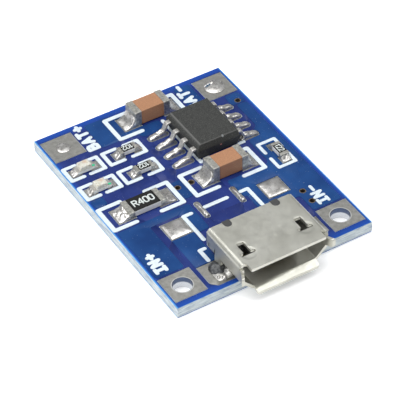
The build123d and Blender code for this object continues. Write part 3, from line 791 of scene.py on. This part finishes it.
def heaps(node, name, knots, squareness, rounding, lump, lump_size, seed, around=None, rings=9, inset=0,
          look="solder"):
    """Stands for a node's solder as heaps on its footprints.

    Knots give the height from each one's inner to its outer end, where outwards is away from the
    middle of the node around which they lie. The seed gives each node its own stretch of the noise.
    """
    hub = middle_of(around or node).to_2d()
    made = bmesh.new()
    for index, footprint in enumerate(footprints(node)):
        footprint = grown(footprint, -inset)
        middle = centre_of(footprint)
        away = middle - hub
        if abs(away.x) > abs(away.y):
            outward = Vector((math.copysign(1, away.x), 0))
        else:
            outward = Vector((0, math.copysign(1, away.y)))
        length = abs(size_of(footprint).dot(outward))
        shift = Vector((0, 0, seed * 7.3 + index * 3.1))

        def height_at(spot):
            place = (spot - middle).dot(outward) / length + 0.5
            sample = Vector((spot.x, spot.y, 0)) / lump_size + shift
            wave = noise.noise(sample) + 0.4 * noise.noise(sample * 2.7)
            return max(curve(knots, place) * (1 + lump * wave), heap_least)

        outline = rounded(footprint, rounding, steps=6)
        heap(made, resampled(outline, heap_step), height_at, squareness, rings)
    bmesh.ops.recalc_face_normals(made, faces=made.faces)
    add_piece(name, finish_mesh(made, name, angle=70), look, (node,))


def beads(name, spots, look, seed):
    """Small round lumps, each given as (x, y, radius, height)."""
    sides = 28
    made = bmesh.new()
    for index, (x, y, radius, height) in enumerate(spots):
        outline = []
        for step in range(sides):
            angle = math.tau * step / sides
            ray = Vector((math.cos(angle), math.sin(angle)))
            ragged = 1 + 0.16 * noise.noise(Vector((*ray * 1.3, seed + index)))
            outline.append(Vector((x, y)) + ray * radius * ragged)

        def height_at(spot):
            return height * (1 + 0.2 * noise.noise(Vector((*spot, seed)) / 0.3))

        heap(made, outline, height_at, squareness=2, rings=7)
    bmesh.ops.recalc_face_normals(made, faces=made.faces)
    add_piece(name, finish_mesh(made, name, angle=70), look)


def level_faces(add, cut, height):
    """Level mesh, facing up, on the union of some outlines less others."""
    points = []
    outlines = []
    for outline in add + cut:
        outlines.append(list(range(len(points), len(points) + len(outline))))
        points += [Vector(point[:2]) for point in outline]
    verts, _, faces, _, _, sources = geometry.delaunay_2d_cdt(points, [], outlines, 1, 1e-5)
    kept = [face for face, source in zip(faces, sources) if source and max(source) < len(add)]
    made = bmesh.new()
    top = [made.verts.new((point.x, point.y, height)) for point in verts]
    for face in kept:
        made.faces.new([top[index] for index in face])
    bmesh.ops.delete(made, geom=[vert for vert in made.verts if not vert.link_faces], context="VERTS")
    bmesh.ops.recalc_face_normals(made, faces=made.faces)
    for face in made.faces:
        if face.normal.z < 0:
            face.normal_flip()
    return made


def way_out(vert):
    """Direction that leads away from a level mesh at a point of its rim, and nought inside it."""
    away = Vector((0, 0, 0))
    for edge in vert.link_edges:
        if len(edge.link_faces) == 1:
            across = (edge.verts[1].co - edge.verts[0].co).cross(Vector((0, 0, 1))).normalized()
            if across.dot(edge.link_faces[0].calc_center_median() - edge.verts[0].co) > 0:
                across.negate()
            away += across
    if away.length > 0.1:
        away.normalize()
    return away


def plate(name, add, cut, low, high, slope, look, nodes=()):
    """Flat piece on the union of some outlines less others, with sides that slope outwards to its foot."""
    made = level_faces(add, cut, high)
    bottom = {}
    for vert in made.verts[:]:
        bottom[vert] = made.verts.new(vert.co + way_out(vert) * slope + Vector((0, 0, low - high)))
    rim = [edge for edge in made.edges if len(edge.link_faces) == 1]
    for face in made.faces[:]:
        made.faces.new([bottom[vert] for vert in reversed(face.verts)])
    for edge in rim:
        loop = edge.link_loops[0]
        first, second = loop.vert, loop.link_loop_next.vert
        made.faces.new([second, first, bottom[first], bottom[second]])
    add_piece(name, finish_mesh(made, name, angle=60), look, nodes)


# Lettering drawn with a pen: each letter's width and lines at height 1

glyphs = {
    "A": (0.7, [[(0, 0), (0.35, 1), (0.7, 0)], [(0.13, 0.34), (0.57, 0.34)]]),
    "B": (0.66, [[(0, 0), (0, 1), (0.42, 1), (0.58, 0.88), (0.58, 0.66), (0.42, 0.53), (0, 0.53)],
                 [(0.42, 0.53), (0.66, 0.4), (0.66, 0.13), (0.48, 0), (0, 0)]]),
    "I": (0.5, [[(0, 0), (0.5, 0)], [(0, 1), (0.5, 1)], [(0.25, 0), (0.25, 1)]]),
    "N": (0.62, [[(0, 0), (0, 1), (0.62, 0), (0.62, 1)]]),
    "R": (0.6, [[(0, 0), (0, 1), (0.42, 1), (0.58, 0.86), (0.58, 0.64), (0.42, 0.5), (0, 0.5)],
                [(0.3, 0.5), (0.6, 0)]]),
    "T": (0.66, [[(0, 1), (0.66, 1)], [(0.33, 0), (0.33, 1)]]),
    "+": (0.6, [[(0, 0.5), (0.6, 0.5)], [(0.3, 0.2), (0.3, 0.8)]]),
    "-": (0.6, [[(0, 0.5), (0.6, 0.5)]]),
    "0": (0.56, [[(0.14, 0), (0, 0.16), (0, 0.84), (0.14, 1), (0.42, 1), (0.56, 0.84), (0.56, 0.16),
                  (0.42, 0), (0.14, 0)]]),
    "1": (0.3, [[(0, 0.8), (0.2, 1), (0.2, 0)]]),
    "2": (0.56, [[(0, 0.82), (0.14, 1), (0.42, 1), (0.56, 0.84), (0.56, 0.62), (0, 0), (0.56, 0)]]),
    "4": (0.58, [[(0.44, 0), (0.44, 1), (0, 0.3), (0.58, 0.3)]]),
}


def lettering(text, start, height, width, turn, gap):
    """Pen strokes of a word. Start is its lower left corner, and turn its angle in degrees."""
    along = Matrix.Rotation(math.radians(turn), 2)
    found = []
    pen = 0
    for letter in text:
        size, lines = glyphs[letter]
        for line in lines:
            placed = [Vector(start) + along @ Vector((pen + x, y)) * height for x, y in line]
            found += strokes(placed, width)
        pen += size + gap
    return found


def word_length(text, gap):
    """Length of a word at height 1."""
    return sum(glyphs[letter][0] for letter in text) + gap * (len(text) - 1)


def centred(text, middle, height, width, turn, gap):
    """Pen strokes of a word round its middle."""
    along = Matrix.Rotation(math.radians(turn), 2)
    half = Vector((word_length(text, gap) / 2, 0.5)) * height
    return lettering(text, Vector(middle) - along @ half, height, width, turn, gap)


# What is printed and etched on the board

terminals = ("input_plus_terminal", "input_minus_terminal", "battery_plus_terminal", "battery_minus_terminal")


def pad_outlines(grow):
    """Outlines of all plain pads, grown on every side: slim ones have round ends, the rest small corners."""
    found = []
    for outline in footprints("tinned_pads"):
        slim = min(size_of(outline)) < slim_width
        radius = slim_pad_radius if slim else pad_radius
        found.append(rounded(grown(outline, grow), radius, steps=6))
    return found


def openings(grow):
    """Outlines that the upper mask keeps clear of: all pads, terminals and vias."""
    found = pad_outlines(grow)
    for node in terminals:
        found += [grown(outline, grow) for outline in footprints(node)]
    return found + footprints("via_barrels")


def add_copper_areas():
    """Copper under the mask, which shows as raised ground of a paler blue."""
    areas = [
        [(-8.25, -7.5), (-8.25, -1.75), (-2.05, -1.75), (-2.05, -4.9), (-3.2, -4.9), (-3.2, -2.5),
         (-5.85, -2.5), (-5.85, -7.5)],
        [(-5.2, -8.2), (-5.2, -4.4), (-3.35, -4.4), (-3.35, -8.2)],
        [(1.75, -1.2), (5.4, -1.2), (5.7, -0.9), (5.7, 1.8), (7.2, 3.2), (7.2, 6.1), (8.1, 6.1),
         (8.1, -7.5), (5.55, -7.5), (5.55, -5.6), (2.2, -5.6), (2.2, -3.5), (1.75, -3.1)],
        [(-4.35, 7.35), (-4.35, 10.4), (-2.6, 10.4), (-0.6, 9.9), (-0.6, 7.9), (1.0, 7.9), (1.0, 6.7),
         (-0.9, 6.7), (-1.3, 7.35)],
        [(-8.25, 1.45), (-8.25, 2.4), (-7.2, 2.4), (-7.2, 1.45)],
        [(-2.05, -1.2), (-2.05, 0.9), (-1.2, 0.9), (-1.2, -1.2)],
        [(6.9, 6.2), (6.9, 7.5), (8.1, 7.5), (8.1, 6.2)],
        [(3.9, 7.4), (3.9, 10.4), (5.3, 10.4), (5.3, 7.4)],
    ]
    outlines = [rounded(area, 0.25) for area in areas]
    plate("copper_area_mask", outlines, openings(relief_opening), board_top - plate_root,
          board_top + copper_relief, copper_slope, "mask_copper")


def part_frame(x0, x1, y0, y1, gap0, gap1, width):
    """Frame round a part, open between two places along its length, above and below."""
    left = strokes([(gap0, y1), (x0, y1), (x0, y0), (gap0, y0)], width)
    right = strokes([(gap1, y1), (x1, y1), (x1, y0), (gap1, y0)], width)
    return left + right


def print_white(name, lines):
    """Piece of white print on the board."""
    plate(name, lines, [], board_top + legend_slack, board_top + legend_height, legend_slope, "ink")


def add_legend():
    """White frames round the parts, and the names of the four terminals."""
    # x0, x1, y0, y1, gap0, gap1 and pen of each frame
    frames = (
        (-2.67, 3.47, 7.43, 10.02, -0.7, 3.1, 0.36),
        (-1.02, 5.09, -1.42, 1.22, 0.9, 3.2, 0.36),
        (-8.25, -2.23, -1.42, 1.19, -6.35, -4.15, 0.36),
        (-4.78, -1.67, 5.17, 6.68, -3.6, -2.85, 0.32),
        (-8.25, -5.33, 5.17, 6.68, -7.2, -6.6, 0.32),
        (-4.78, -1.67, 2.65, 4.15, -3.6, -2.85, 0.32),
        (-8.25, -5.33, 2.65, 4.15, -7.2, -6.6, 0.32),
    )
    # Pen and points of each other line
    bars = (
        (0.28, [(5.99, -0.85), (5.99, -2.05), (7.5, -2.05), (7.5, -0.85)]),
        (0.28, [(5.99, -0.1), (5.99, 1.05), (7.5, 1.05), (7.5, -0.1)]),
        (0.3, [(1.25, 7.6), (1.25, 1.75), (2.1, 1.75)]),
        (0.3, [(4.9, 2.0), (5.3, 2.0)]),
        (0.34, [(-1.2, -2.8), (0.75, -2.8)]),
        (0.32, [(-2.45, -2.85), (-3.13, -2.85), (-3.13, -5.8)]),
        (0.32, [(2.0, -2.78), (2.62, -2.78), (2.62, -4.9)]),
        (0.32, [(-3.6, -6.67), (-4.02, -6.67), (-4.02, -7.9)]),
    )
    lines = []
    for places in frames:
        lines += part_frame(*places)
    for pen, line in bars:
        lines += strokes(line, pen)
    print_white("legend_frames", lines)

    # Text, lower left corner and pen of each name
    names = (
        ("BAT+", (-4.55, 7.55), 0.31),
        ("BAT-", (4.75, 7.5), 0.31),
        ("IN+", (-7.1, -7.05), 0.31),
        ("IN-", (7.16, -7.15), 0.26),
    )
    letters = []
    for text, start, pen in names:
        letters += lettering(text, start, height=0.78, width=pen, turn=90, gap=0.42)
    print_white("legend_names", letters)


def add_codes():
    """Resistance codes on the resistors' overcoats."""
    # Text, resistor, height, pen and angle of each code
    codes = (
        ("R400", "input_resistor", 0.6, 0.11, 0),
        ("102", "standby_led_resistor", 0.43, 0.075, 180),
        ("102", "charge_led_resistor", 0.43, 0.075, 180),
        ("122", "current_set_resistor", 0.43, 0.075, -90),
    )
    for text, name, height, pen, turn in codes:
        middle = middle_of(name + "_coating").to_2d()
        level = Vector(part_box(name + "_coating")[1]).z / MM
        marks = centred(text, middle, height, pen, turn, gap=0.2)
        plate(name + "_code", marks, [], level - mark_sink, level + mark_height, mark_slope, "code")


def add_light_marks():
    """Green mark on each indicator light, which shows its polarity."""
    for name in ("charge_led", "standby_led"):
        low, high = (Vector(corner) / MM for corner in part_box(name + "_terminals"))
        wall = Vector(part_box(name + "_lens")[1]).x / MM
        dot = capsule((wall + 0.13, low.y + 0.17), (wall + 0.2, low.y + 0.15), 0.2)
        bar = capsule((wall + 0.06, low.y + 0.2), (wall + 0.06, high.y - 0.08), 0.08)
        plate(name + "_mark", [dot, bar], [], high.z - mark_sink, high.z + mark_height, mark_slope, "green")


# The object, piece by piece


def paint_nodes(nodes, look):
    """Gives CAD nodes that keep their own mesh a finished material."""
    for node in nodes:
        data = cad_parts[node].data
        data.materials.clear()
        data.materials.append(looks[look])


def add_mask_and_pads():
    """Upper solder mask with its openings, the tinned pads in them, and the edge of the right shell pad."""
    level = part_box("top_solder_mask")[0][2] / MM
    plate("upper_mask", footprints("top_solder_mask"), openings(mask_opening), level, board_top, 0,
          "mask_laminate", ("top_solder_mask",))
    plate("round_pads", pad_outlines(0), [], level, board_top, 0, "tin", ("tinned_pads",))
    edge = [(4.9, -9.98), (5.3, -9.98), (5.3, -8.13), (4.9, -8.13)]
    plate("right_pad_edge", [rounded(edge, 0.05)], [], board_top - plate_root, board_top + 0.004,
          mark_slope, "tin")


def dress_board():
    """Laminate, mask, terminals, pads and vias."""
    paint_nodes(["circuit_board"], "laminate")
    paint_nodes(["bottom_solder_mask"], "mask_laminate")
    paint_nodes(["via_barrels"], "via")
    add_mask_and_pads()
    paint_nodes(terminals, "tin")
    flowed("battery_plus_solder_fill", "battery_plus_solder_dome", seed=40, crack=None)
    flowed("battery_minus_solder_fill", "battery_minus_solder_dome", seed=41, crack=crack_line)


def dress_capacitors():
    """Capacitors with their end caps and solder."""
    for seed, name in enumerate(("output_capacitor", "input_capacitor")):
        edged(name + "_body", name + "_ceramic", "brown_ceramic", 0.05)
        edged(name + "_end_caps", name + "_plating", "end_cap", 0.04)
        heaps(name + "_solder", name + "_fillets", capacitor_fillet, squareness=4, rounding=0.25, lump=0.12,
              lump_size=0.35, seed=seed, rings=12)


def dress_resistors():
    """Resistors with their overcoats, end caps and solder."""
    names = ("input_resistor", "charge_led_resistor", "standby_led_resistor", "current_set_resistor")
    for seed, name in enumerate(names, 10):
        edged(name + "_body", name + "_ceramic", "alumina", 0.02)
        edged(name + "_coating", name + "_overcoat", "overcoat", 0.01)
        edged(name + "_end_caps", name + "_plating", "end_cap", 0.02)
        fillet = large_fillet if name == "input_resistor" else small_fillet
        look = "dull_solder" if name == "current_set_resistor" else "solder"
        heaps(name + "_solder", name + "_fillets", fillet, squareness=3, rounding=0.2, lump=0.36,
              lump_size=0.26, seed=seed, look=look)


def dress_lights():
    """Indicator lights with their lenses, dies, terminals and solder."""
    for seed, name in enumerate(("charge_led", "standby_led"), 20):
        edged(name + "_base", name + "_laminate", "led_base", 0.01)
        edged(name + "_terminals", name + "_plating", "lead", 0.01)
        edged(name + "_lens", name + "_resin", "lens", 0.03)
        paint_nodes([name + "_die"], "die")
        heaps(name + "_solder", name + "_fillets", light_fillet, squareness=3, rounding=0.2, lump=0.36,
              lump_size=0.26, seed=seed)


def dress_chip():
    """Charger chip with its leads, their solder and the heat pad beneath."""
    edged("charger_chip_body", "charger_chip_moulding", "moulding", 0.05, segments=3)
    edged("charger_chip_leads", "charger_chip_tinned_leads", "lead", 0.06, segments=3, angle=50)
    heaps("charger_chip_solder", "charger_chip_fillets", lead_fillet, squareness=3.2, rounding=0.36,
          lump=0.16, lump_size=0.35, seed=31, rings=12)
    paint_nodes(["charger_chip_heat_pad"], "lead")


def dress_socket():
    """Shell, insulator, contacts and the solder round them and on the spare pads."""
    edged("usb_shell", "usb_steel_shell", "steel", 0.035, segments=3)
    edged("usb_insulator", "usb_plastic_insulator", "insulator", 0.02)
    paint_nodes(["usb_contacts"], "gold")
    heaps("usb_shell_solder", "usb_shell_fillets", shell_fillet, squareness=2, rounding=0.4, lump=0.6,
          lump_size=0.4, seed=50, rings=12, inset=0.2, look="dull_solder")
    heaps("usb_contact_solder", "usb_contact_fillets", tail_fillet, squareness=2.4, rounding=0.15, lump=0.1,
          lump_size=0.3, seed=51, around="usb_shell", rings=6)
    heaps("spare_pad_solder", "spare_pad_pillows", pillow, squareness=1.7, rounding=0.2, lump=0.25,
          lump_size=1.1, seed=52, look="smooth_solder")
    slim_pads = [centre_of(pad) for pad in footprints("spare_pad_solder") if size_of(pad).x < slim_width]
    end_beads = [(middle.x, middle.y - 0.78, 0.19, 0.22) for middle in slim_pads]
    peaks = [(-4.0, -10.1, 0.22, 0.24), (-4.3, -9.85, 0.16, 0.18)]
    beads("slim_pad_beads", end_beads, "solder", seed=60)
    beads("left_flux_lump", [(-3.9, -8.95, 0.7, 0.44)], "flux", seed=61)
    beads("left_solder_peaks", peaks, "solder", seed=62)


add_camera()
add_floor()
add_world()
add_light("key", (-50, 30, 220), (0, 0, 0), size=200, energy=0.41)
add_light("fill", (-160, -60, 90), (0, 0, 0), size=120, energy=0.14)
add_light("front", (90, -60, 200), (0, -10, 0), size=130, energy=0.15)
looks = make_looks()
dress_board()
add_copper_areas()
add_legend()
dress_capacitors()
dress_resistors()
dress_lights()
add_codes()
add_light_marks()
dress_chip()
dress_socket()
